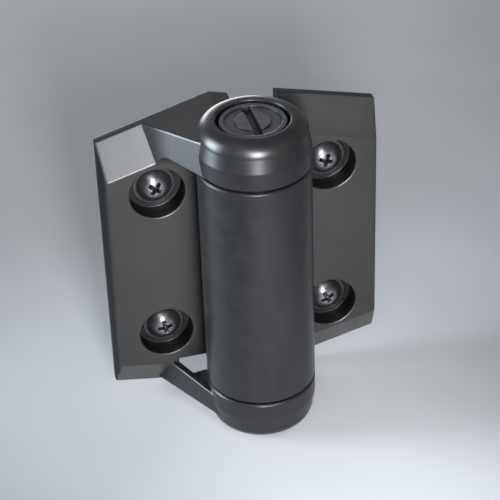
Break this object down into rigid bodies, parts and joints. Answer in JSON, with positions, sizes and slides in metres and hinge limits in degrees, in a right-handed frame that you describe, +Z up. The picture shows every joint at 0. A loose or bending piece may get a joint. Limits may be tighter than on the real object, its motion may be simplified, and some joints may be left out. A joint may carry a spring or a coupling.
{
  "type": "self-closing gate hinge",
  "caption": "Self-closing gate hinge: bevelled black polymer leaves, a barrel that holds a torsion spring, and a slotted dial in the top knuckle that sets the closing tension.",
  "frame": {"origin": "middle of the post leaf's screws, on the back plane of that leaf", "axes": "+X from the hinge axis towards the post leaf's outer edge, +Y from the front of the leaves back into the post, +Z up along the hinge axis"},
  "size_m": [0.0751, 0.0564, 0.0934],
  "materials": {
    "leaf_polymer": "satin black glass-filled polymer",
    "dial_polymer": "smooth dark polymer",
    "screw_steel": "glossy black coating",
    "bearing_polymer": "smooth black bearing polymer",
    "inner_polymer": "plain moulded",
    "pin_steel": "turned",
    "spring_steel": "oiled"
  },
  "bodies": {
    "post_leaf": {"post_leaf": "leaf_polymer", "upper_pivot_bush": "bearing_polymer", "lower_pivot_bush": "bearing_polymer", "spring_anchor": "inner_polymer", "torsion_spring": "spring_steel", "post_leaf_screws": "screw_steel"},
    "gate_leaf": {"gate_leaf": "leaf_polymer", "upper_pivot_sleeve": "bearing_polymer", "dial_retaining_clip": "spring_steel", "lower_pivot_pin": "pin_steel", "lower_knuckle_cap": "leaf_polymer", "gate_leaf_screws": "screw_steel"},
    "spring_arbor": {"spring_arbor": "inner_polymer", "arbor_thrust_washer": "bearing_polymer", "dial_return_spring": "spring_steel"},
    "tension_dial": {"tension_dial": "dial_polymer"}
  },
  "joints": [
    {"name": "gate_swing", "type": "hinge", "parent": "post_leaf", "child": "gate_leaf", "pos_m": [-0.02325, -0.0195, 0.001], "axis": [0, 0, 1], "range_deg": [0, 180], "stiffness_Nm_per_rad": 0.4, "springref_deg": -14.32, "deforming": ["torsion_spring"]},
    {"name": "tension_turn", "type": "hinge", "parent": "gate_leaf", "child": "spring_arbor", "pos_m": [-0.02325, -0.0195, 0.001], "axis": [0, 0, 1], "range_deg": [0, 270], "deforming": ["torsion_spring"]},
    {"name": "dial_press", "type": "slide", "parent": "spring_arbor", "child": "tension_dial", "axis": [0, 0, -1], "range_m": [0, 0.003], "stiffness_N_per_m": 200, "springref_m": -0.0005, "deforming": ["dial_return_spring"]}
  ]
}
